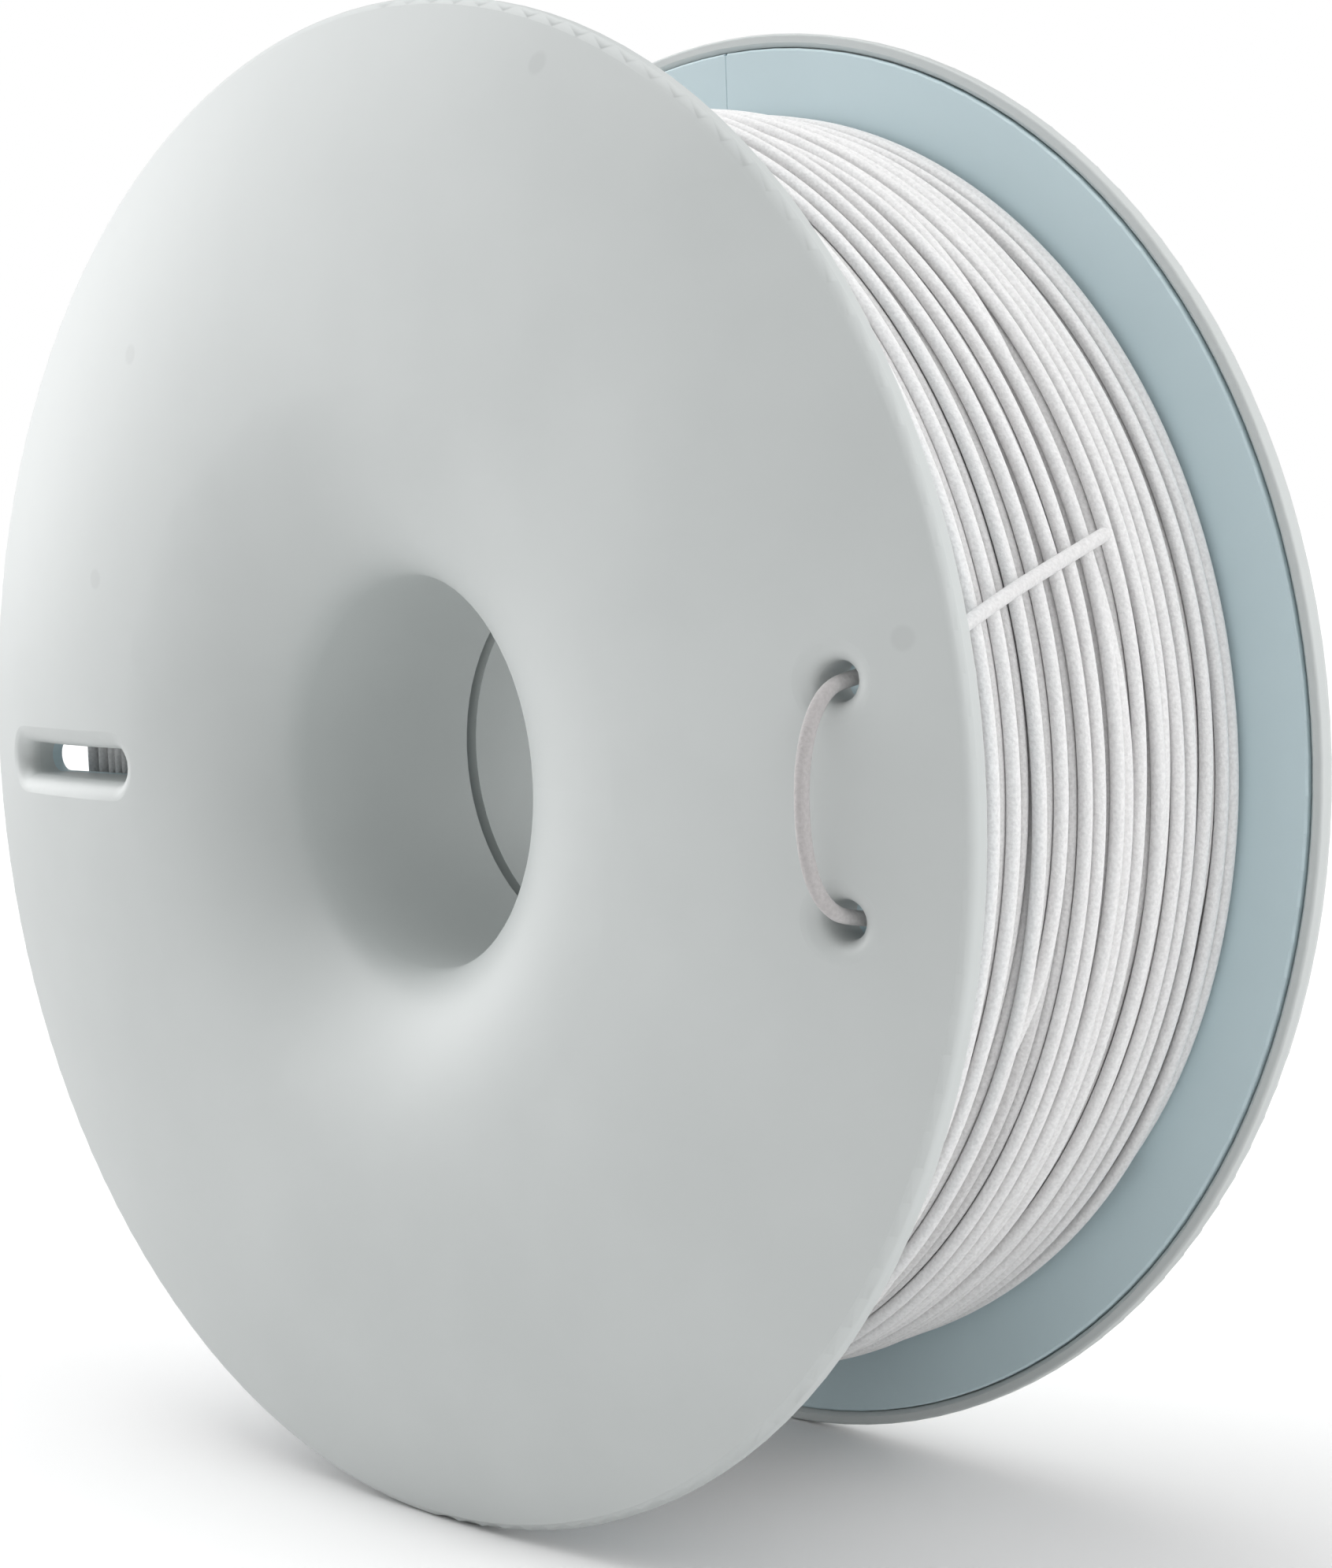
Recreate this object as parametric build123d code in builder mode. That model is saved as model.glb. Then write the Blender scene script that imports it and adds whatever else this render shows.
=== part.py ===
"""Filament spool: two domed shells, two flat flange discs, a ribbed core and the wound filament.

The spool's axis runs along Y and Z is up.  The origin is the centre of the bore, half way
between the two flanges.  Both shells are the same moulding, and so are both discs: the rear
one is made on the +Y side, and the front one is it turned half round about X.
"""
from build123d import *
from math import cos, hypot, pi, radians, sin, tan
import os

os.makedirs("parts", exist_ok=True)

# Driving dimensions, in millimetres.  A Y value is a distance from the spool's middle plane.
FLANGE_DIAMETER = 195.0  # over the rims
CREST_WIDTH = 83.0  # over the crests of the two domed shells
WINDING_WIDTH = 59.6  # between the two discs
BORE_DIAMETER = 51.0  # clear hole for a holder's shaft
SEAM_GAP = 1.7  # between the two shells' bore tubes, at the middle
WALL = 2.0  # moulded wall of the shells

CREST_RADIUS = 50.0  # where the dome stands furthest out
RIM_SHOULDER_RADIUS = 96.5  # where the dome runs into the rounded rim
RIM_SHOULDER_Y = 33.0
LIP_Y = 30.0  # inner face of the rim's lip
LIP_CORNER = 0.4
LIP_CHAMFER = 0.6  # slope from the lip down to the disc
THROAT_Y = 29.0  # where the trumpet meets the straight bore

DISC_THICKNESS = 1.6
DISC_RADIUS = 95.5
DISC_HOLE_RADIUS = 30.0
DISC_EDGE_ROUND = 0.3
GROOVE_RADIUS = 95.7  # outer wall of the fine groove round the disc

CORE_RADIUS = 50.0  # drum that the filament is wound on
CORE_WALL = 2.0
SLEEVE_WALL = 1.8  # sleeve that holds both bore tubes
SLEEVE_HALF_LENGTH = 28.5
RIB_COUNT = 6
RIB_THICKNESS = 2.0

SLOT_WIDTH = 4.6  # radial slot at -X, through each flange
SLOT_INNER_CENTRE = 53.6  # centres of the slot's two round ends
SLOT_OUTER_CENTRE = 82.1
HOLE_DIAMETER = 4.6  # two threading holes, either side of +X
HOLE_RADIUS = 82.1  # their distance from the axis
HOLE_ANGLE = 9.2  # each from +X, in degrees
MOUTH_ROUND = 2.5  # soft edge of the slot and of the holes
TUNNEL_WALL = 1.5  # wall round each passage, between shell and disc

INDEX_LINE_WIDTH = 0.2  # fine moulding line across each disc's face
INDEX_LINE_DEPTH = 0.06
INDEX_LINE_START = 60.0
INDEX_NOTCH_WIDTH = 0.6  # nick in the disc's edge at the end of that line
INDEX_NOTCH_DEPTH = 0.3

FILAMENT_DIAMETER = 1.75
WINDING_RADIUS = 86.5  # crown of the winding
WINDING_FRONT_RADIUS = 77.0  # against the front disc, clear of the threading holes
WINDING_REAR_RADIUS = 84.8  # against the rear disc
FRONT_SHOULDER_Y = -21.0  # where the crown's front shoulder begins
FRONT_SHOULDER_MID_Y = -25.0
REAR_SHOULDER_Y = 26.0
REAR_SHOULDER_MID_Y = 29.0

# The filament's free tail, as (distance from the axis, angle from +X in degrees, Y).  It leaves
# the winding behind the front flange, comes out of the lower hole, goes back in through the
# upper one and ends, cut off, on top of the winding.
TAIL_ROUTE = [
    (86.1, -37.0, -24.0),
    (86.7, -30.5, -24.0),
    (86.9, -24.5, -24.2),
    (86.5, -19.0, -24.6),
    (85.5, -14.6, -25.2),
    (83.8, -11.4, -26.9),
    (82.4, -9.6, -29.6),
    (82.1, -9.2, -33.7),
    (81.9, -8.7, -37.1),
    (81.6, -6.9, -39.8),
    (80.8, -4.2, -40.9),
    (80.3, -0.4, -41.1),
    (80.7, 3.6, -40.9),
    (81.6, 6.9, -39.6),
    (82.0, 8.9, -36.9),
    (82.2, 9.4, -33.0),
    (83.1, 9.8, -29.1),
    (86.1, 10.6, -25.6),
    (88.1, 12.1, -20.4),
    (87.6, 14.3, -11.4),
    (87.7, 16.5, -1.4),
    (87.5, 18.5, 8.2),
]

# Worked-out dimensions.
flange_radius = FLANGE_DIAMETER / 2
crest_y = CREST_WIDTH / 2
disc_face_y = WINDING_WIDTH / 2
disc_back_y = disc_face_y + DISC_THICKNESS
bore_radius = BORE_DIAMETER / 2
tube_radius = bore_radius + WALL
hole_x = HOLE_RADIUS * cos(radians(HOLE_ANGLE))
hole_z = HOLE_RADIUS * sin(radians(HOLE_ANGLE))
slot_length = SLOT_OUTER_CENTRE - SLOT_INNER_CENTRE
slot_x = -(SLOT_OUTER_CENTRE + SLOT_INNER_CENTRE) / 2

# The dome's outer face is a parabola from the crest to the rim's shoulder.  Its inner face is
# the same parabola one wall lower, and stops at the flat seat that the disc lies on.
dome_run = RIM_SHOULDER_RADIUS - CREST_RADIUS
dome_drop = crest_y - RIM_SHOULDER_Y
seat_run = dome_run * ((crest_y - WALL - disc_back_y) / dome_drop) ** 0.5


def dome_curve(top_y, run, end_y):
    """A parabola, level at the crest, that reaches end_y at a given run outside the crest."""
    return Bezier((CREST_RADIUS, top_y), (CREST_RADIUS + run / 2, top_y), (CREST_RADIUS + run, end_y))


def trumpet_curve(inner_radius, top_y):
    """A quarter ellipse, from the crest down to where the bore's straight wall begins."""
    return EllipticalCenterArc(
        (CREST_RADIUS, THROAT_Y), CREST_RADIUS - inner_radius, top_y - THROAT_Y, start_angle=90, arc_size=90
    )


def passages(grow=0.0):
    """The slot and both threading holes, in the XZ plane, each side moved out by grow."""
    with Locations((slot_x, 0)):
        SlotCenterToCenter(slot_length, SLOT_WIDTH + 2 * grow)
    with Locations((hole_x, hole_z), (hole_x, -hole_z)):
        Circle(HOLE_DIAMETER / 2 + grow)


def from_axis(distance, angle, y):
    """The point at a distance from the spool's axis and an angle from +X."""
    return Vector(distance * cos(radians(angle)), y, distance * sin(radians(angle)))


def on_dome(edge):
    """True for an edge that lies in the dome's outer face."""
    middle = edge @ 0.5
    outside_crest = hypot(middle.X, middle.Z) - CREST_RADIUS
    return abs(middle.Y - crest_y + dome_drop * (outside_crest / dome_run) ** 2) < 0.01


# Walls round the slot and the holes, from the disc's back to half way through the dome's wall.
with BuildPart() as tunnels:
    with BuildSketch(Plane.XZ.offset(-disc_back_y)):
        passages(TUNNEL_WALL)
    extrude(amount=-(crest_y - disc_back_y))
    with BuildSketch(Plane.XY):
        with BuildLine():
            top = dome_curve(crest_y - WALL / 2, dome_run, RIM_SHOULDER_Y - WALL / 2)
            Polyline(
                top @ 0,
                (tube_radius, crest_y - WALL / 2),
                (tube_radius, 0),
                (RIM_SHOULDER_RADIUS, 0),
                top @ 1,
            )
        make_face()
    revolve(axis=Axis.Y, mode=Mode.INTERSECT)

# The shell: its section is drawn with X as the radius, and turned about Y.
with BuildPart() as rear_shell:
    with BuildSketch(Plane.XY):
        with BuildLine():
            dome = dome_curve(crest_y, dome_run, RIM_SHOULDER_Y)
            fall = dome % 1
            rim_round = (flange_radius - RIM_SHOULDER_RADIUS) / (1 + fall.Y)
            rim_end = (flange_radius, RIM_SHOULDER_Y - rim_round * fall.X)
            rim = TangentArc(dome @ 1, rim_end, tangent=fall)
            edge = Line(rim @ 1, (flange_radius, LIP_Y + LIP_CORNER))
            lip_round = TangentArc(edge @ 1, (flange_radius - LIP_CORNER, LIP_Y), tangent=(0, -1))
            Polyline(
                lip_round @ 1,
                (GROOVE_RADIUS + LIP_CHAMFER, LIP_Y),
                (GROOVE_RADIUS, LIP_Y + LIP_CHAMFER),
                (GROOVE_RADIUS, disc_back_y),
                (CREST_RADIUS + seat_run, disc_back_y),
            )
            dome_curve(crest_y - WALL, seat_run, disc_back_y)
            trumpet_curve(tube_radius, crest_y - WALL)
            Polyline(
                (tube_radius, THROAT_Y),
                (tube_radius, SEAM_GAP / 2),
                (bore_radius, SEAM_GAP / 2),
                (bore_radius, THROAT_Y),
            )
            trumpet_curve(bore_radius, crest_y)
        make_face()
    revolve(axis=Axis.Y)
    add(tunnels.part)
    with BuildSketch(Plane.XZ.offset(-disc_back_y)):
        passages()
    extrude(amount=-crest_y, both=True, mode=Mode.SUBTRACT)
    fillet(edges().filter_by(GeomType.BSPLINE).filter_by(on_dome), MOUTH_ROUND)
rear_shell.part.label = "rear_shell"
export_step(rear_shell.part, "parts/rear_shell.step")

with BuildPart() as front_shell:
    add(rear_shell.part, rotation=(180, 0, 0))
front_shell.part.label = "front_shell"
export_step(front_shell.part, "parts/front_shell.step")

# The disc: a flat liner that lies in the shell's seat and closes it, cut by the same passages.
# A fine moulding line runs up its face to a nick in its edge.
with BuildPart() as rear_disc:
    with BuildSketch(Plane.XZ.offset(-disc_face_y)):
        Circle(DISC_RADIUS)
        Circle(DISC_HOLE_RADIUS, mode=Mode.SUBTRACT)
    extrude(amount=-DISC_THICKNESS)
    face_edge = edges().group_by(Axis.Y)[0].sort_by(SortBy.RADIUS)[-1]
    fillet(face_edge, DISC_EDGE_ROUND)
    with BuildSketch(Plane.XZ.offset(-disc_face_y)):
        passages()
        with Locations((0, DISC_RADIUS)):
            Rectangle(INDEX_NOTCH_WIDTH, 2 * INDEX_NOTCH_DEPTH)
    extrude(amount=-DISC_THICKNESS, mode=Mode.SUBTRACT)
    with BuildSketch(Plane.XZ.offset(-disc_face_y)):
        with Locations((0, (INDEX_LINE_START + DISC_RADIUS) / 2)):
            Rectangle(INDEX_LINE_WIDTH, DISC_RADIUS - INDEX_LINE_START)
    extrude(amount=-INDEX_LINE_DEPTH, mode=Mode.SUBTRACT)
rear_disc.part.label = "rear_disc"
export_step(rear_disc.part, "parts/rear_disc.step")

with BuildPart() as front_disc:
    add(rear_disc.part, rotation=(180, 0, 0))
front_disc.part.label = "front_disc"
export_step(front_disc.part, "parts/front_disc.step")

# The core: a drum between the discs, joined by ribs to a sleeve that grips both bore tubes.
sleeve_radius = tube_radius + SLEEVE_WALL
rib_inner = sleeve_radius - SLEEVE_WALL / 2
rib_outer = CORE_RADIUS - CORE_WALL / 2
with BuildPart() as winding_core:
    with BuildSketch(Plane.XZ):
        Circle(CORE_RADIUS)
        Circle(CORE_RADIUS - CORE_WALL, mode=Mode.SUBTRACT)
    extrude(amount=disc_face_y, both=True)
    with BuildSketch(Plane.XZ):
        Circle(sleeve_radius)
        with PolarLocations((rib_inner + rib_outer) / 2, RIB_COUNT):
            Rectangle(rib_outer - rib_inner, RIB_THICKNESS)
        Circle(tube_radius, mode=Mode.SUBTRACT)
    extrude(amount=SLEEVE_HALF_LENGTH, both=True)
winding_core.part.label = "winding_core"
export_step(winding_core.part, "parts/winding_core.step")

# The wound filament, as one closed ring of its outer shape.  Its crown falls away in front of
# the front disc, where the filament's last turn and its tail pass behind the threading holes.
with BuildPart() as filament_winding:
    with BuildSketch(Plane.XY):
        with BuildLine():
            front_shoulder = Bezier(
                (WINDING_FRONT_RADIUS, -disc_face_y),
                (WINDING_RADIUS, FRONT_SHOULDER_MID_Y),
                (WINDING_RADIUS, FRONT_SHOULDER_Y),
            )
            rear_shoulder = Bezier(
                (WINDING_RADIUS, REAR_SHOULDER_Y),
                (WINDING_RADIUS, REAR_SHOULDER_MID_Y),
                (WINDING_REAR_RADIUS, disc_face_y),
            )
            Line(front_shoulder @ 1, rear_shoulder @ 0)
            Polyline(
                rear_shoulder @ 1,
                (CORE_RADIUS, disc_face_y),
                (CORE_RADIUS, -disc_face_y),
                front_shoulder @ 0,
            )
        make_face()
    revolve(axis=Axis.Y)
filament_winding.part.label = "filament_winding"
export_step(filament_winding.part, "parts/filament_winding.step")

# The tail: straight runs joined by arcs, each as large as its two runs allow.
tail_points = [from_axis(*place) for place in TAIL_ROUTE]
tail_radii = []
for before, corner, after in zip(tail_points, tail_points[1:], tail_points[2:]):
    turn = (corner - before).get_angle(after - corner)
    shorter_run = min((corner - before).length, (after - corner).length)
    tail_radii.append(0.45 * shorter_run / tan(radians(turn / 2)))
print("tail radii", [round(radius, 1) for radius in tail_radii])

with BuildPart() as filament_tail:
    with BuildLine() as tail_path:
        FilletPolyline(*tail_points, radius=tail_radii)
    with BuildSketch(Plane(tail_points[0], z_dir=tail_points[1] - tail_points[0])):
        Circle(FILAMENT_DIAMETER / 2)
    sweep()
tail_length = sum(edge.length for edge in tail_path.edges())
section_times_length = pi * (FILAMENT_DIAMETER / 2) ** 2 * tail_length
print("tail length", round(tail_length, 1))
print("tail volume over section times length", round(filament_tail.part.volume / section_times_length, 4))
filament_tail.part.label = "filament_tail"
export_step(filament_tail.part, "parts/filament_tail.step")
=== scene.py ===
"""Filament spool: two domed plastic shells, flat flange discs, and the wound filament.

The spool's axis runs along Y and Z is up.  The shells, the discs and the core are the CAD
nodes with new materials.  The winding is three layers, laid here turn by turn over a packed
ring, and the filament's free tail is threaded through the two holes of the front flange.
"""
import math

import bpy
import numpy as np
from mathutils import Matrix, Vector


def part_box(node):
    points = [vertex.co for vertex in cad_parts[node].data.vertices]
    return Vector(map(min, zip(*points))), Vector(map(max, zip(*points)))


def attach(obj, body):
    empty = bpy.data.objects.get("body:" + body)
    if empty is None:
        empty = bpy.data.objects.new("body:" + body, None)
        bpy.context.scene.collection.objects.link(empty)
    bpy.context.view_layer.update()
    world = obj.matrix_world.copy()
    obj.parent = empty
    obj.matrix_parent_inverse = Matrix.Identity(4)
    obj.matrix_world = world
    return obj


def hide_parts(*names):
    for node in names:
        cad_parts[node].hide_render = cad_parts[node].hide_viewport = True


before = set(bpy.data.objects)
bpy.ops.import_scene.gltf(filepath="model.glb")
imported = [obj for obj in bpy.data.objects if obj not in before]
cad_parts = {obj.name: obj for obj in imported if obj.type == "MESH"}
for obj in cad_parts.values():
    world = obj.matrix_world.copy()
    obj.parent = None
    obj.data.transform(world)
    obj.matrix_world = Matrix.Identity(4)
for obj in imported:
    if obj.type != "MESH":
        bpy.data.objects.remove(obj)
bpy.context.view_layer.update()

MM = 0.001
TURN = 2 * math.pi

# Sizes taken from the frame.
floor_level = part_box("rear_shell")[0].z
wound_low, wound_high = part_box("filament_winding")
winding_radius = wound_high.x
winding_half_width = wound_high.y
core_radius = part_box("winding_core")[1].x

FILAMENT_DIAMETER = 1.75 * MM
FILAMENT_RADIUS = FILAMENT_DIAMETER / 2

# The tail's route, as (distance from the axis, angle from +X in degrees, Y), in millimetres.
TAIL_ROUTE = [
    (86.1, -37.0, -24.0),
    (86.7, -30.5, -24.0),
    (86.9, -24.5, -24.2),
    (86.5, -19.0, -24.6),
    (85.5, -14.6, -25.2),
    (83.8, -11.4, -26.9),
    (82.4, -9.6, -29.6),
    (82.1, -9.2, -33.7),
    (81.9, -8.7, -37.1),
    (81.6, -6.9, -39.8),
    (80.8, -4.2, -40.9),
    (80.3, -0.4, -41.1),
    (80.7, 3.6, -40.9),
    (81.6, 6.9, -39.6),
    (82.0, 8.9, -36.9),
    (82.2, 9.4, -33.0),
    (83.1, 9.8, -29.1),
    (86.1, 10.6, -25.6),
    (88.1, 12.1, -20.4),
    (87.6, 14.3, -11.4),
    (87.7, 16.5, -1.4),
    (87.5, 18.5, 8.2),
]
LEAVING_RADIUS, LEAVING_ANGLE, LEAVING_Y = TAIL_ROUTE[0]  # where the tail leaves the winding
TAIL_STEPS = 10  # points of that curve for each place in the route
TAIL_BEVEL = 6  # gives its section 16 corners


def from_axis(distance, angle, y):
    """The point at a distance from the spool's axis and an angle from +X."""
    turned = math.radians(angle)
    return Vector((distance * math.cos(turned), y, distance * math.sin(turned)))


def direction(azimuth, elevation):
    """The direction at an azimuth from -Y towards +X and an elevation, both in degrees."""
    turned, raised = math.radians(azimuth), math.radians(elevation)
    return Vector((
        math.sin(turned) * math.cos(raised),
        -math.cos(turned) * math.cos(raised),
        math.sin(raised),
    ))


# ---------------------------------------------------------------- camera

CAMERA_AZIMUTH = 47.17
CAMERA_ELEVATION = 4.71
CAMERA_ROLL = -2.11
CAMERA_DISTANCE = 439.78 * MM
AIM_RIGHT = 10.02 * MM  # the point looked at, from the bore's centre
AIM_UP = -3.92 * MM
FOCAL_LENGTH = 74.69  # in the millimetres of the camera's own settings
SENSOR_HEIGHT = 36.0
NEAREST = 0.01  # the camera sees from here, in metres
FURTHEST = 50.0  # to here


def add_camera():
    """The photograph's camera, found from the outlines of the flanges, bore and winding."""
    back = direction(CAMERA_AZIMUTH, CAMERA_ELEVATION)
    level = Vector((0, 0, 1)).cross(back).normalized()
    roll = Matrix.Rotation(math.radians(CAMERA_ROLL), 3, back)
    right = roll @ level
    up = back.cross(right)
    camera = bpy.data.objects.new("camera", bpy.data.cameras.new("camera"))
    bpy.context.scene.collection.objects.link(camera)
    turned = Matrix((right, up, back)).transposed().to_4x4()
    turned.translation = back * CAMERA_DISTANCE + right * AIM_RIGHT + up * AIM_UP
    camera.matrix_world = turned
    camera.data.lens = FOCAL_LENGTH
    camera.data.sensor_width = SENSOR_HEIGHT  # Blender fits this to the picture's longer side
    camera.data.clip_start = NEAREST
    camera.data.clip_end = FURTHEST
    bpy.context.scene.camera = camera


# ---------------------------------------------------------------- tail

def add_tail(material):
    """The free end of the filament, threaded through both holes of the front flange."""
    curve = bpy.data.curves.new("filament_tail_cord", "CURVE")
    curve.dimensions = "3D"
    curve.bevel_depth = FILAMENT_RADIUS
    curve.bevel_resolution = TAIL_BEVEL
    curve.resolution_u = TAIL_STEPS
    curve.use_fill_caps = True
    spline = curve.splines.new("NURBS")
    spline.points.add(len(TAIL_ROUTE) - 1)
    for point, place in zip(spline.points, TAIL_ROUTE):
        point.co = (*from_axis(*place) * MM, 1)
    spline.order_u = 3
    spline.use_endpoint_u = True
    tail = bpy.data.objects.new("filament_tail_cord", curve)
    bpy.context.scene.collection.objects.link(tail)
    curve.materials.append(material)
    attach(tail, "root")
    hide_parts("filament_tail")


# ---------------------------------------------------------------- winding

STEPS = 240  # places in each turn where the filament's line has a point
SIDES = 10  # corners of the filament's section
FRONT_EDGE_RADIUS = 77.0 * MM  # the crown's radius against each disc
REAR_EDGE_RADIUS = 84.8 * MM
FRONT_SHOULDER = 9.0 * MM  # the width over which it falls to that
REAR_SHOULDER = 4.0 * MM
FRONT_ROUNDNESS = 1.7  # how late in this shoulder it falls
REAR_ROUNDNESS = 2
LAYERS_DEPTH = 5.0 * MM  # three laid layers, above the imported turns
LAY_ANGLE = LEAVING_ANGLE  # where every layer starts and ends
SWAY_REACH = STEPS // 8  # places over which a turn's sway changes
SWAY_EASE = 0.7  # turns over which it fades in and out at a layer's ends
TURN_STIFFNESS = 6  # places over which a turn follows the grooves below it
LINE_STIFFNESS = 3  # places over which its line is smoothed at last
BELL_CUT = 3  # a smoothing bell ends at this many times its reach
UPPER_INSET = 0.4 * MM  # how far inside the other layers the upper one starts
CLIMB = STEPS // 4  # places over which it leads up to the tail
FLANK_GAP = 0.05 * MM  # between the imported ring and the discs
CROWN_POINTS = 60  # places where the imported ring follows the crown
RIB_POINTS = 6  # points over each packed turn's rounded back
RING_SECTORS = 140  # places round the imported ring


def crown(y):
    """The winding's outer radius at Y."""
    front = np.clip((wound_low.y + FRONT_SHOULDER - y) / FRONT_SHOULDER, 0, 1)
    rear = np.clip((y - wound_high.y + REAR_SHOULDER) / REAR_SHOULDER, 0, 1)
    front_fall = (winding_radius - FRONT_EDGE_RADIUS) * front ** FRONT_ROUNDNESS
    rear_fall = (winding_radius - REAR_EDGE_RADIUS) * rear ** REAR_ROUNDNESS
    return winding_radius - front_fall - rear_fall


def bell_smoothed(values, reach):
    """Values smoothed along their line by a bell of so many places' reach."""
    cut = BELL_CUT * reach
    weights = np.exp(-0.5 * (np.arange(-cut, cut + 1) / reach) ** 2)
    padded = np.pad(values, cut, mode="edge")
    return np.convolve(padded, weights / weights.sum(), mode="valid")


def sway(count, rng):
    """A smooth random line, with a spread of one."""
    line = bell_smoothed(rng.normal(0, 1, count), SWAY_REACH)
    return line / line.std()


def highest_near(values, reach):
    """The highest value within reach places of each one."""
    padded = np.pad(values, reach, mode="edge")
    return np.lib.stride_tricks.sliding_window_view(padded, 2 * reach + 1).max(axis=1)


def by_turn(values):
    """A layer's values with a row for each turn, so that a column is one angle."""
    return values[: len(values) // STEPS * STEPS].reshape(-1, STEPS)


def drawn_to_grooves(y, below, column, pull):
    """A line's Y, drawn towards the nearest groove of the layer below by the share pull."""
    grooves = (below["y"][1:] + below["y"][:-1]) / 2
    nearest = np.abs(grooves[:, column] - y).argmin(axis=0)
    return bell_smoothed(y + pull * (grooves[nearest, column] - y), TURN_STIFFNESS)


def kept_apart(y, way):
    """A line's Y, with each turn a filament's width or more beyond the last one, in its way."""
    y = y.copy()
    for first in range(STEPS, len(y), STEPS):
        here = y[first:first + STEPS]
        last = y[first - STEPS:first][:len(here)]
        here[:] = way * np.maximum(way * here, way * last + FILAMENT_DIAMETER)
    return y


def lifted_over(radius, y, below, column):
    """A line's radius, raised to climb over what it crosses in the layer below."""
    gap = np.abs(below["y"][:, column] - y)
    lift = np.sqrt(np.clip(FILAMENT_DIAMETER ** 2 - gap ** 2, 0, None))
    resting = np.where(gap < FILAMENT_DIAMETER, below["radius"][:, column] + lift, 0)
    radius = np.maximum(radius, resting.max(axis=0))
    return bell_smoothed(highest_near(radius, LINE_STIFFNESS), LINE_STIFFNESS)


def lay_layer(below, turns, start, end, uneven, swing, pull, seed):
    """One layer of filament, laid on the one below it, as its points' Y and radius.

    The turns' spacing differs by the share uneven, and they sway by swing.  Each turn is drawn
    towards the nearest groove of the layer below by the share pull, and climbs over what it
    crosses.
    """
    rng = np.random.default_rng(seed)
    count = turns * STEPS + 1
    spacing = rng.uniform(1 - uneven, 1 + uneven, turns)
    marks = np.concatenate([[0], np.cumsum(spacing)]) / spacing.sum()
    turn = np.arange(count) / STEPS
    y = start + (end - start) * np.interp(turn, np.arange(turns + 1), marks)
    ends = np.clip(np.minimum(turn, turns - turn) / SWAY_EASE, 0, 1)
    y = y + ends * swing * sway(count, rng)
    column = np.arange(count) % STEPS
    if below is not None:
        y = drawn_to_grooves(y, below, column, ends * pull)
    y = kept_apart(y, way=1 if end > start else -1)
    reach = winding_half_width - FILAMENT_RADIUS
    y = np.clip(bell_smoothed(y, LINE_STIFFNESS), -reach, reach)
    radius = crown(y) - LAYERS_DEPTH + FILAMENT_RADIUS
    if below is not None:
        radius = lifted_over(radius, y, below, column)
    return {"y": by_turn(y), "radius": by_turn(radius), "line_y": y, "line_radius": radius}


def add_mesh(name, points, faces, material):
    """A smooth-shaded mesh piece of the spool, made of the given points and faces."""
    mesh = bpy.data.meshes.new(name)
    mesh.from_pydata(points, [], faces)
    mesh.update()
    mesh.polygons.foreach_set("use_smooth", [True] * len(mesh.polygons))
    mesh.materials.append(material)
    piece = bpy.data.objects.new(name, mesh)
    bpy.context.scene.collection.objects.link(piece)
    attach(piece, "root")
    return piece


def add_layer_tube(name, layer, material):
    """A layer's filament, as one closed tube with a flat cap at each end."""
    y = layer["line_y"]
    angle = math.radians(LAY_ANGLE) + TURN * np.arange(len(y)) / STEPS
    side = TURN * np.arange(SIDES) / SIDES
    distance = layer["line_radius"][:, None] + FILAMENT_RADIUS * np.cos(side)
    across = y[:, None] + FILAMENT_RADIUS * np.sin(side)
    points = np.stack(
        [distance * np.cos(angle)[:, None], across, distance * np.sin(angle)[:, None]], axis=-1
    ).reshape(-1, 3)
    ring = np.arange(len(y) - 1)[:, None] * SIDES
    corner = np.arange(SIDES)
    beside = (corner + 1) % SIDES
    walls = np.stack(
        [ring + corner, ring + corner + SIDES, ring + beside + SIDES, ring + beside], axis=-1
    ).reshape(-1, 4)
    last = (len(y) - 1) * SIDES
    caps = [list(range(SIDES)), list(range(last + SIDES - 1, last - 1, -1))]
    return add_mesh(name, points.tolist(), walls.tolist() + caps, material)


def packed_outline():
    """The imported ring's section below the laid layers, as (radius, Y) from flank to flank."""
    low, high = wound_low.y + FLANK_GAP, wound_high.y - FLANK_GAP
    crown_y = np.linspace(low, high, CROWN_POINTS)
    top = crown(crown_y) - LAYERS_DEPTH
    return np.array([(core_radius, low), *zip(top, crown_y), (core_radius, high)])


def ribbed(outline):
    """The radius and Y of an outline's points, with a groove pressed between each two turns."""
    runs = np.hypot(*np.diff(outline, axis=0).T)
    along = np.concatenate([[0], np.cumsum(runs)])
    turns = round(along[-1] / FILAMENT_DIAMETER)
    place = np.linspace(0, along[-1], turns * RIB_POINTS + 1)
    radius = np.interp(place, along, outline[:, 0])
    y = np.interp(place, along, outline[:, 1])
    heading = np.gradient(np.stack([radius, y], axis=1), axis=0)
    heading /= np.hypot(*heading.T)[:, None]
    across = 2 * ((np.arange(len(place)) % RIB_POINTS) / RIB_POINTS) - 1
    groove = FILAMENT_RADIUS * (1 - np.sqrt(np.clip(1 - across ** 2, 0, 1)))
    radius = np.maximum(radius - groove * np.abs(heading[:, 1]), core_radius)
    y = y + groove * np.where(y < 0, 1, -1) * np.abs(heading[:, 0])
    return radius, y


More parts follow.
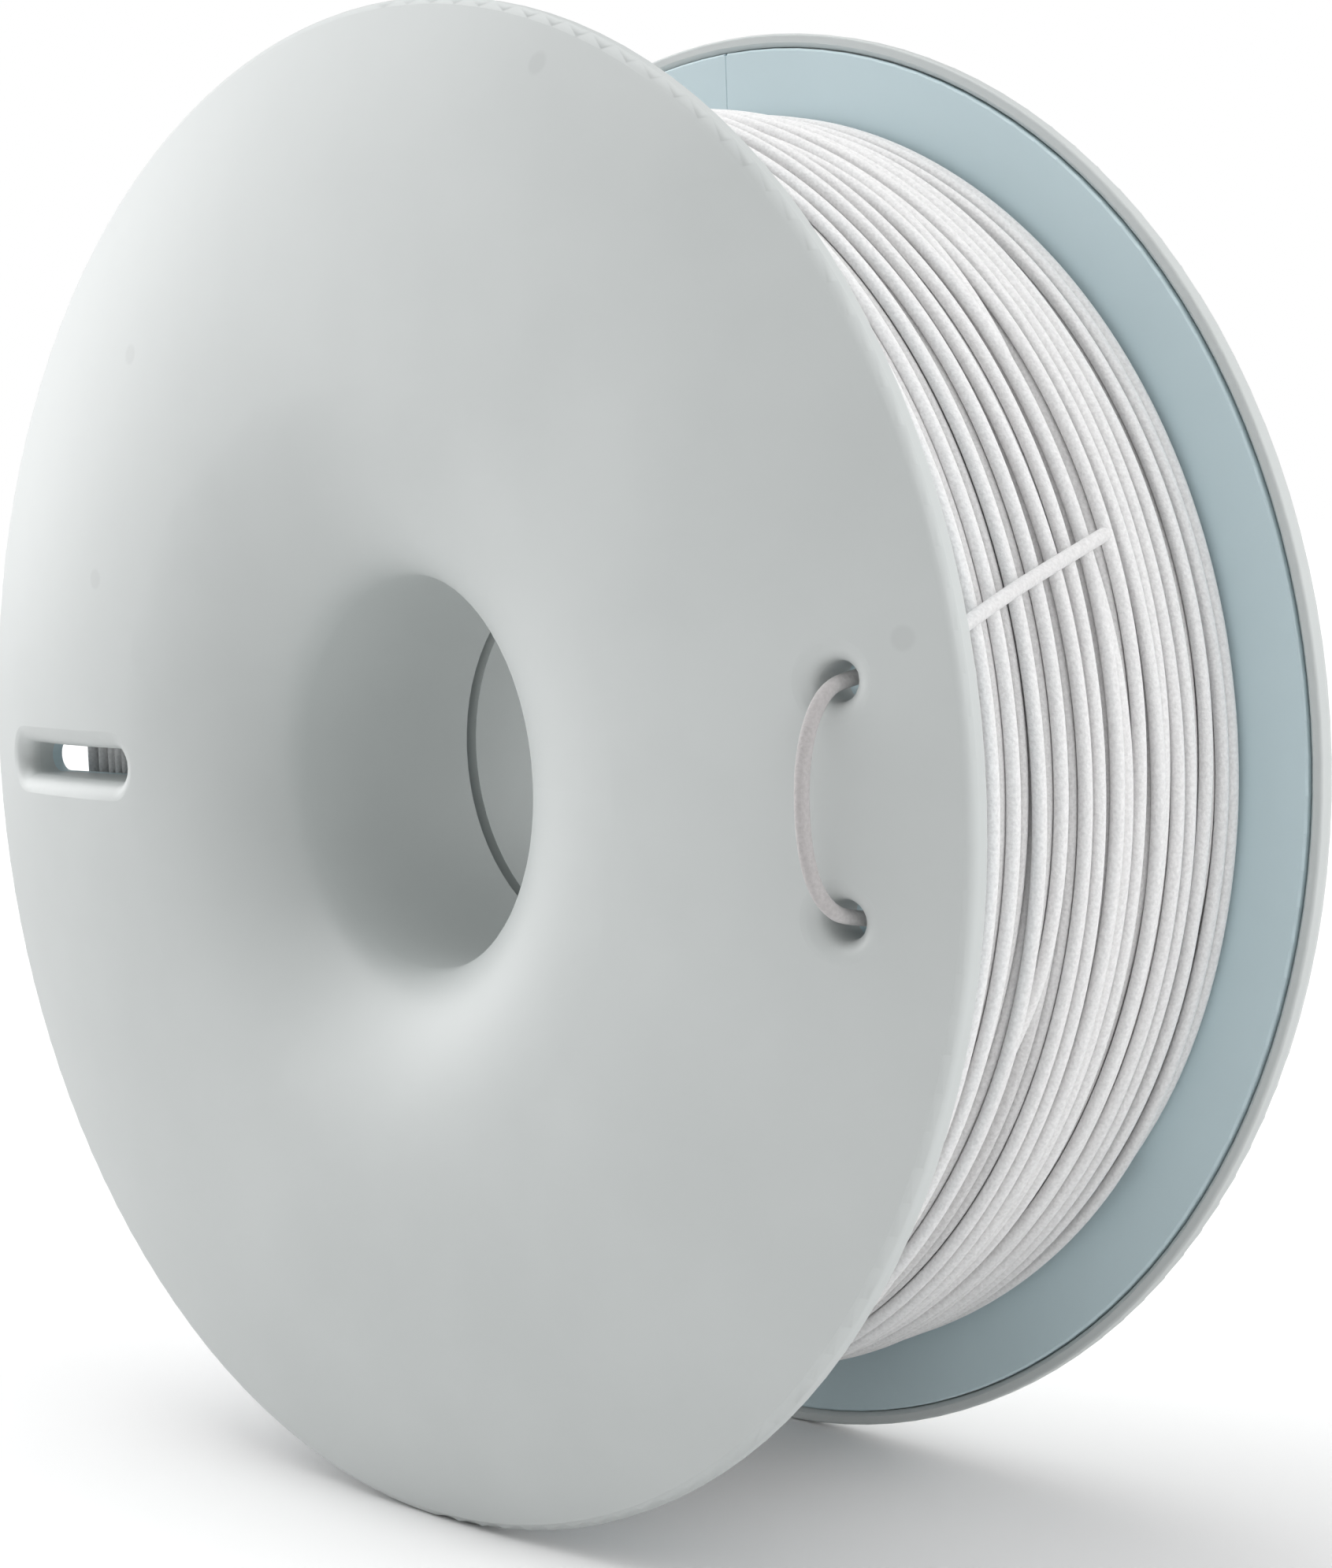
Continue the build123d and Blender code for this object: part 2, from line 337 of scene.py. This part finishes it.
def add_packed_turns(material):
    """The turns below the laid layers, as one ring with a groove between each two of them."""
    radius, y = ribbed(packed_outline())
    angle = TURN * np.arange(RING_SECTORS) / RING_SECTORS
    points = np.stack([
        np.outer(radius, np.cos(angle)),
        np.repeat(y[:, None], RING_SECTORS, axis=1),
        np.outer(radius, np.sin(angle)),
    ], axis=-1).reshape(-1, 3)
    count = len(radius)
    row = np.arange(count)[:, None] * RING_SECTORS
    above = (np.arange(count)[:, None] + 1) % count * RING_SECTORS
    here = np.arange(RING_SECTORS)
    beside = (here + 1) % RING_SECTORS
    faces = np.stack([row + here, above + here, above + beside, row + beside], axis=-1)
    faces = faces.reshape(-1, 4).tolist()
    return add_mesh("winding_packed_turns", points.tolist(), faces, material)


def climb_to_tail(layer):
    """Leads the end of the top layer to where the tail leaves it."""
    count = len(layer["line_y"])
    share = np.clip((np.arange(count) - count + CLIMB) / (CLIMB - 1), 0, 1)
    share = share ** 2 * (3 - 2 * share)  # eased at both ends
    for line, goal in (("line_y", LEAVING_Y * MM), ("line_radius", LEAVING_RADIUS * MM)):
        layer[line] = layer[line] + share * (goal - layer[line][-1])


def add_winding(top_material, lower_painted_shade_material):
    """The wound filament: three laid layers over packed turns, the lower ones darkened by painted
    shade.
    """
    edge = winding_half_width - FILAMENT_RADIUS
    lower = lay_layer(
        below=None, turns=27, start=edge, end=-edge,
        uneven=0.06, swing=0.1 * MM, pull=0, seed=3,
    )
    middle = lay_layer(
        below=lower, turns=24, start=-edge, end=edge,
        uneven=0.15, swing=0.35 * MM, pull=0.75, seed=11,
    )
    upper = lay_layer(
        below=middle, turns=18, start=edge - UPPER_INSET, end=LEAVING_Y * MM,
        uneven=0.4, swing=0.6 * MM, pull=0.5, seed=29,
    )
    climb_to_tail(upper)
    # Painted shade: the packed turns and the lower two layers wear a darker copy of the filament,
    # standing in for the shade in the gaps between the top layer's turns.
    pieces = [
        add_packed_turns(lower_painted_shade_material),
        add_layer_tube("winding_lower_layer", lower, lower_painted_shade_material),
        add_layer_tube("winding_middle_layer", middle, lower_painted_shade_material),
        add_layer_tube("winding_upper_layer", upper, top_material),
    ]
    for piece in pieces:
        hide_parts("filament_winding")


# ---------------------------------------------------------------- materials

# Noises, in cells to the metre.
MOTTLE_SCALE = 35  # the moulded plastics' flow marks
GRAIN_SCALE = 2500  # their spark-eroded surface
SPECKLE_SCALE = 2300  # the filament's speckle and fur
FLOOR_SCALE = 3

BLEND_START = 0.3  # the noise up to which a colour is the darker of its two
BLEND_END = 0.7  # and from which it is the lighter
GRAIN_STRENGTH = 0.06  # the share of the grain's bump that shows
GRAIN_DEPTH = 0.02 * MM
FUR_STRENGTH = 0.6  # and of the fur's
FUR_DEPTH = 0.2 * MM
FILAMENT_ROUGHNESS = (0.7, 0.9)
FILAMENT_SHEEN = 0.15
GRAZING_REACH = 1.0  # keeps the rims' facets from showing where the light grazes them

# Faint round witness marks in each flange's face, as (distance from the axis in millimetres,
# angle from +X in degrees).
WITNESS_MARKS = [(92.2, 68.4), (73.5, 129.9), (61.8, 155.1), (91.8, 11.2)]
WITNESS_RADIUS = 1.7 * MM
WITNESS_CORE = 1.0 * MM  # the radius within which a mark is at its darkest
WITNESS_SHARE = (0.93, 0.93, 0.93)  # of the plastic's colour, there

FLANGE_INSIDE = -31 * MM  # painted shade: the tail grows darker from this Y, on its way out
FLANGE_OUTSIDE = -38 * MM  # to this one


def new_shader(name):
    """A new material, its node tree and its principled shader."""
    material = bpy.data.materials.new(name)
    material.use_nodes = True
    tree = material.node_tree
    return material, tree, tree.nodes["Principled BSDF"]


def place_of(tree):
    """The socket that gives a point's place in the spool's frame."""
    return tree.nodes.new("ShaderNodeTexCoord").outputs["Object"]


def parts_of(tree, place):
    """The sockets of a place's X, Y and Z, by their names."""
    node = tree.nodes.new("ShaderNodeSeparateXYZ")
    tree.links.new(place, node.inputs["Vector"])
    return node.outputs


def maths(tree, operation, first, second):
    """The socket of a sum, product or the like, of a socket with a socket or a number."""
    node = tree.nodes.new("ShaderNodeMath")
    node.operation = operation
    tree.links.new(first, node.inputs[0])
    if isinstance(second, bpy.types.NodeSocket):
        tree.links.new(second, node.inputs[1])
    else:
        node.inputs[1].default_value = second
    return node.outputs["Value"]


def noise(tree, place, scale, detail):
    """The socket of a noise of so many cells to the metre."""
    node = tree.nodes.new("ShaderNodeTexNoise")
    node.inputs["Scale"].default_value = scale
    node.inputs["Detail"].default_value = detail
    tree.links.new(place, node.inputs["Vector"])
    return node.outputs["Fac"]


def blend_colours(tree, share, first, second):
    """The socket of a colour that runs from first to second as share grows."""
    node = tree.nodes.new("ShaderNodeValToRGB")
    node.color_ramp.elements[0].color = (*first, 1)
    node.color_ramp.elements[1].color = (*second, 1)
    node.color_ramp.elements[0].position = BLEND_START
    node.color_ramp.elements[1].position = BLEND_END
    tree.links.new(share, node.inputs["Fac"])
    return node.outputs["Color"]


def spread(tree, share, low, high):
    """The socket of a value that runs from low to high as share runs from 0 to 1."""
    node = tree.nodes.new("ShaderNodeMapRange")
    node.inputs["To Min"].default_value = low
    node.inputs["To Max"].default_value = high
    tree.links.new(share, node.inputs["Value"])
    return node.outputs["Result"]


def rise(tree, value, start, end, shape="LINEAR"):
    """The socket that goes from 0 to 1 as value goes from start to end."""
    node = tree.nodes.new("ShaderNodeMapRange")
    node.interpolation_type = shape
    node.inputs["From Min"].default_value = start
    node.inputs["From Max"].default_value = end
    tree.links.new(value, node.inputs["Value"])
    return node.outputs["Result"]


def dulled(tree, colour, amount, share):
    """The socket of a colour that goes down to a share of itself as amount goes from 0 to 1."""
    node = tree.nodes.new("ShaderNodeMix")
    node.data_type = "RGBA"
    node.blend_type = "MULTIPLY"
    first, second = [socket for socket in node.inputs if socket.type == "RGBA"]
    tree.links.new(amount, node.inputs["Factor"])
    tree.links.new(colour, first)
    second.default_value = (*share, 1)
    return next(socket for socket in node.outputs if socket.type == "RGBA")


def add_bump(tree, shader, height, strength, distance):
    """Roughens a shader's surface by a height socket."""
    node = tree.nodes.new("ShaderNodeBump")
    node.inputs["Strength"].default_value = strength
    node.inputs["Distance"].default_value = distance
    tree.links.new(height, node.inputs["Height"])
    tree.links.new(node.outputs["Normal"], shader.inputs["Normal"])


def witness_marks(tree, place):
    """The socket of how deep in a witness mark each point is, from 0 outside them all."""
    parts = parts_of(tree, place)
    flat = tree.nodes.new("ShaderNodeCombineXYZ")
    tree.links.new(parts["X"], flat.inputs["X"])
    tree.links.new(parts["Z"], flat.inputs["Z"])
    total = None
    for distance, angle in WITNESS_MARKS:
        apart = tree.nodes.new("ShaderNodeVectorMath")
        apart.operation = "DISTANCE"
        apart.inputs[1].default_value = from_axis(distance, angle, 0) * MM
        tree.links.new(flat.outputs["Vector"], apart.inputs[0])
        far = apart.outputs["Value"]
        mark = rise(tree, far, WITNESS_RADIUS, WITNESS_CORE, "SMOOTHSTEP")
        total = mark if total is None else maths(tree, "ADD", total, mark)
    return total


def moulded_plastic(name, dark, light, roughness, marked=False):
    """Satin injection-moulded plastic, with a faint flow mottle and a fine spark-eroded grain."""
    material, tree, shader = new_shader(name)
    place = place_of(tree)
    mottle = noise(tree, place, MOTTLE_SCALE, detail=3)
    colour = blend_colours(tree, mottle, dark, light)
    if marked:
        colour = dulled(tree, colour, witness_marks(tree, place), WITNESS_SHARE)
    tree.links.new(colour, shader.inputs["Base Color"])
    tree.links.new(spread(tree, mottle, *roughness), shader.inputs["Roughness"])
    grain = noise(tree, place, GRAIN_SCALE, detail=2)
    add_bump(tree, shader, grain, GRAIN_STRENGTH, GRAIN_DEPTH)
    return material


def outside_flange(tree, place):
    """The socket of how far each point is out in front of the front flange, from 0 to 1."""
    return rise(tree, parts_of(tree, place)["Y"], FLANGE_INSIDE, FLANGE_OUTSIDE)


def filament_plastic(name, dark, light, painted_shade_share=None):
    """Matte, slightly furry filament with a pale speckle.

    Where it lies in front of the front flange, painted shade darkens it to the given share.
    """
    material, tree, shader = new_shader(name)
    place = place_of(tree)
    speckle = noise(tree, place, SPECKLE_SCALE, detail=4)
    colour = blend_colours(tree, speckle, dark, light)
    if painted_shade_share is not None:
        # Painted shade: the stretch in front of the front flange is darkened, standing in for the
        # shade it lies in there.
        colour = dulled(tree, colour, outside_flange(tree, place), painted_shade_share)
    tree.links.new(colour, shader.inputs["Base Color"])
    tree.links.new(spread(tree, speckle, *FILAMENT_ROUGHNESS), shader.inputs["Roughness"])
    shader.inputs["Sheen Weight"].default_value = FILAMENT_SHEEN
    add_bump(tree, shader, speckle, FUR_STRENGTH, FUR_DEPTH)
    return material


def dress_cad_nodes():
    """Gives each CAD node that is seen its own plastic, in place of the one it came with."""
    shell = moulded_plastic(
        "shell_plastic", dark=(0.62, 0.65, 0.645), light=(0.66, 0.69, 0.685),
        roughness=(0.36, 0.44), marked=True,
    )
    disc = moulded_plastic(
        "disc_plastic", dark=(0.61, 0.745, 0.785), light=(0.64, 0.775, 0.815),
        roughness=(0.40, 0.48),
    )
    core = moulded_plastic(
        "core_plastic", dark=(0.52, 0.56, 0.56), light=(0.55, 0.59, 0.59),
        roughness=(0.45, 0.55),
    )
    worn = {
        "front_shell": shell, "rear_shell": shell,
        "front_disc": disc, "rear_disc": disc,
        "winding_core": core,
    }
    for node, material in worn.items():
        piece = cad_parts[node]
        piece.data.materials.clear()
        piece.data.materials.append(material)
        piece.shadow_terminator_geometry_offset = GRAZING_REACH


# ---------------------------------------------------------------- studio

FLOOR_HALF_WIDTH = 12.0  # metres
FLOOR_WHITE = 0.97  # the floor's share of light given back, as the camera sees it
FLOOR_BOUNCE = 0.78  # and as it lights the spool
FLOOR_MOTTLE = 0.02  # how much lighter its palest patches are


def add_floor():
    """A wide pale floor that the spool's rims stand on."""
    mesh = bpy.data.meshes.new("floor")
    corners = [(-1, -1), (1, -1), (1, 1), (-1, 1)]
    points = [(x * FLOOR_HALF_WIDTH, y * FLOOR_HALF_WIDTH, floor_level) for x, y in corners]
    mesh.from_pydata(points, [], [(0, 1, 2, 3)])
    floor = bpy.data.objects.new("floor", mesh)
    bpy.context.scene.collection.objects.link(floor)
    material, tree, shader = new_shader("floor_paint")
    seen = tree.nodes.new("ShaderNodeLightPath").outputs["Is Camera Ray"]
    mottle = noise(tree, place_of(tree), FLOOR_SCALE, detail=2)
    paint = maths(tree, "ADD", maths(tree, "MULTIPLY", mottle, FLOOR_MOTTLE), FLOOR_BOUNCE)
    paint = maths(tree, "ADD", paint, maths(tree, "MULTIPLY", seen, FLOOR_WHITE - FLOOR_BOUNCE))
    tree.links.new(paint, shader.inputs["Base Color"])
    shader.inputs["Roughness"].default_value = 1.0
    shader.inputs["Specular IOR Level"].default_value = 0.0
    mesh.materials.append(material)


# The studio's soft lamps, as (azimuth, elevation, strength, focus): broad bright patches of
# what surrounds the spool.  A lamp of a higher focus fades sooner away from its middle.
SOFT_LAMPS = [
    (285, 12, 4.2, 7),
    (315, 50, 0.3, 4),
    (75, 10, 0.8, 10),
    (106, 28, 3.0, 8),
    (150, 15, 1.0, 8),
    (190, 20, 0.6, 4),
    (290, 62, 2.6, 10),
    (0, 88, 1.9, 10),
]


def lamp_glow(tree, outward, azimuth, elevation, strength, focus):
    """The socket of a soft lamp's brightness, in each direction from the spool."""
    facing = tree.nodes.new("ShaderNodeVectorMath")
    facing.operation = "DOT_PRODUCT"
    facing.inputs[1].default_value = direction(azimuth, elevation)
    tree.links.new(outward, facing.inputs[0])
    front = maths(tree, "MAXIMUM", facing.outputs["Value"], 0)
    return maths(tree, "MULTIPLY", maths(tree, "POWER", front, focus), strength)


def add_studio():
    """The soft lamps' light from all round, behind a plain white background."""
    world = bpy.data.worlds.new("studio")
    bpy.context.scene.world = world
    world.use_nodes = True
    tree = world.node_tree
    tree.nodes.clear()
    outward = tree.nodes.new("ShaderNodeTexCoord").outputs["Generated"]
    glow = lamp_glow(tree, outward, *SOFT_LAMPS[0])
    for lamp in SOFT_LAMPS[1:]:
        glow = maths(tree, "ADD", glow, lamp_glow(tree, outward, *lamp))
    lighting = tree.nodes.new("ShaderNodeBackground")
    tree.links.new(glow, lighting.inputs["Strength"])
    white = tree.nodes.new("ShaderNodeBackground")
    white.inputs["Color"].default_value = (1, 1, 1, 1)
    seen = tree.nodes.new("ShaderNodeLightPath").outputs["Is Camera Ray"]
    mix = tree.nodes.new("ShaderNodeMixShader")
    output = tree.nodes.new("ShaderNodeOutputWorld")
    tree.links.new(seen, mix.inputs["Fac"])
    tree.links.new(lighting.outputs["Background"], mix.inputs[1])
    tree.links.new(white.outputs["Background"], mix.inputs[2])
    tree.links.new(mix.outputs["Shader"], output.inputs["Surface"])


# ---------------------------------------------------------------- the scene

bpy.context.scene.view_settings.view_transform = "Standard"
add_camera()
# The tail's loop in front of the front flange is darkened by painted shade, to the share given
# last.
add_tail(filament_plastic(
    "tail_filament", dark=(0.76, 0.75, 0.75), light=(0.90, 0.89, 0.89),
    painted_shade_share=(0.66, 0.64, 0.64),
))
add_winding(
    top_material=filament_plastic(
        "top_filament", dark=(0.82, 0.815, 0.815), light=(0.98, 0.975, 0.975)
    ),
    # painted shade: a darker copy of the top filament, for the turns seen in the gaps
    lower_painted_shade_material=filament_plastic(
        "lower_filament_painted_shade", dark=(0.64, 0.635, 0.635), light=(0.80, 0.795, 0.795)
    ),
)
dress_cad_nodes()
add_floor()
add_studio()
